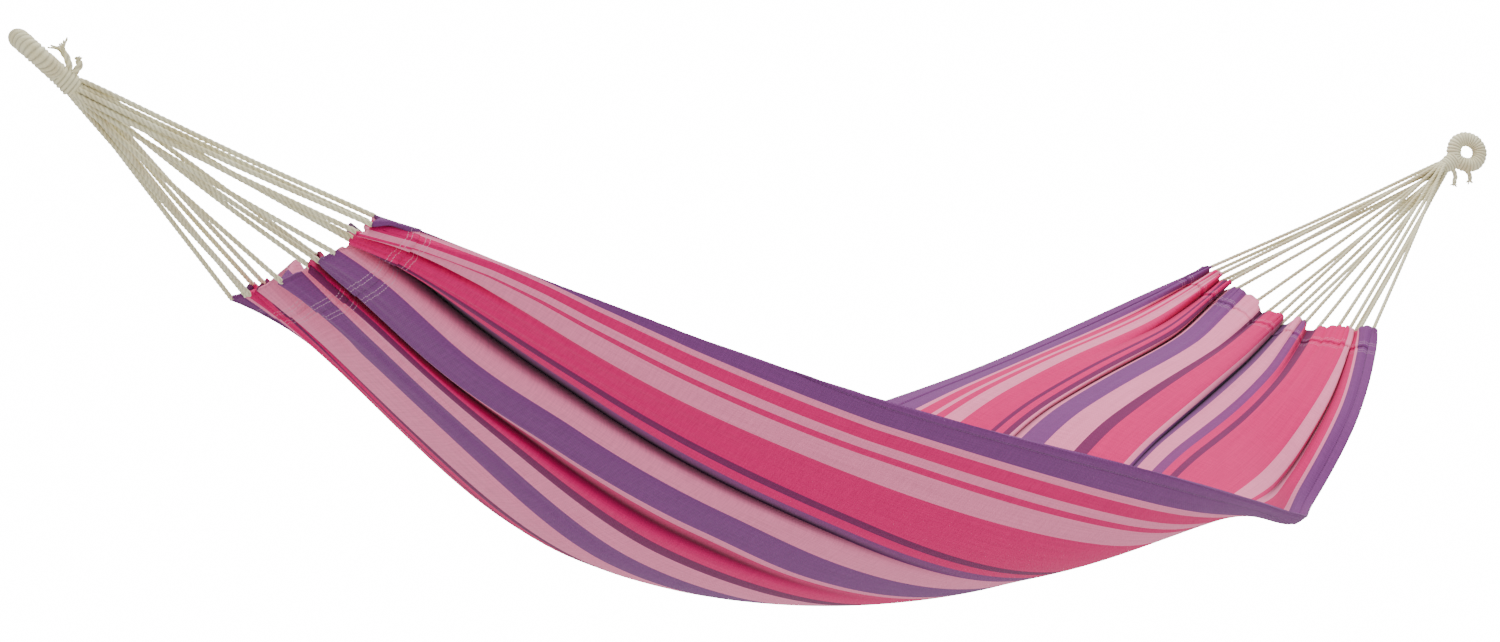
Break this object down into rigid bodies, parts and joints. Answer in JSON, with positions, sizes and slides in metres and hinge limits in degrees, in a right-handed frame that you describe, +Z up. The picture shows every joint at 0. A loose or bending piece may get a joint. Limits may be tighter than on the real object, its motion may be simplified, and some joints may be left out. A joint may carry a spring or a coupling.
{
  "type": "rope hammock",
  "caption": "Striped cotton hammock with gathered ends, fanned suspension cords and a lashed rope eye at each end, hanging empty.",
  "frame": {"origin": "where the head eye bears on its hook, inside the eye's outer end", "axes": "+X along the hammock from the head end to the foot end, +Z up, +Y across the bed towards the far edge"},
  "size_m": [2.3783, 0.942, 0.6719],
  "materials": {
    "striped_cloth": "woven cotton in pink, rose, plum and purple stripes",
    "purple_hem": "folded and stitched purple cotton",
    "end_casing": "doubled striped cotton with two rows of stitching",
    "suspension_cord": "twisted natural cotton",
    "wrapped_eye": "cotton rope wrapped with cord",
    "lashing": "tight turns of natural cotton cord"
  },
  "bodies": {
    "head_end": {"eye_head": "wrapped_eye", "collar_head": "lashing", "tail_head_1": "lashing", "tail_head_2": "lashing"},
    "bed": {"bed_cloth": "striped_cloth", "hem_near": "purple_hem", "hem_far": "purple_hem", "casing_head": "end_casing", "casing_foot": "end_casing", "cord_head_01": "suspension_cord", "cord_head_02": "suspension_cord", "cord_head_03": "suspension_cord", "cord_head_04": "suspension_cord", "cord_head_05": "suspension_cord", "cord_head_06": "suspension_cord", "cord_head_07": "suspension_cord", "cord_head_08": "suspension_cord", "cord_head_09": "suspension_cord", "cord_head_10": "suspension_cord", "cord_head_11": "suspension_cord", "cord_head_12": "suspension_cord", "cord_head_13": "suspension_cord", "cord_head_14": "suspension_cord", "cord_head_15": "suspension_cord", "cord_head_16": "suspension_cord", "cord_head_17": "suspension_cord", "cord_head_18": "suspension_cord", "cord_foot_01": "suspension_cord", "cord_foot_02": "suspension_cord", "cord_foot_03": "suspension_cord", "cord_foot_04": "suspension_cord", "cord_foot_05": "suspension_cord", "cord_foot_06": "suspension_cord", "cord_foot_07": "suspension_cord", "cord_foot_08": "suspension_cord", "cord_foot_09": "suspension_cord", "cord_foot_10": "suspension_cord", "cord_foot_11": "suspension_cord", "cord_foot_12": "suspension_cord", "cord_foot_13": "suspension_cord", "cord_foot_14": "suspension_cord", "cord_foot_15": "suspension_cord", "cord_foot_16": "suspension_cord", "cord_foot_17": "suspension_cord", "cord_foot_18": "suspension_cord"},
    "foot_end": {"eye_foot": "wrapped_eye", "collar_foot": "lashing", "tail_foot_1": "lashing", "tail_foot_2": "lashing"}
  },
  "joints": [
    {"name": "bed_swing", "type": "hinge", "parent": "head_end", "child": "bed", "pos_m": [0.0425, -0.00465, -0.03617], "axis": [1, 0, 0], "range_deg": [-30, 30]},
    {"name": "foot_eye_swivel", "type": "hinge", "parent": "bed", "child": "foot_end", "pos_m": [2.2905, -0.00465, -0.03617], "axis": [1, 0, 0], "range_deg": [-30, 30]}
  ],
  "couplings": [
    {"joint": "foot_eye_swivel", "follows": "bed_swing", "ratio": -1}
  ]
}
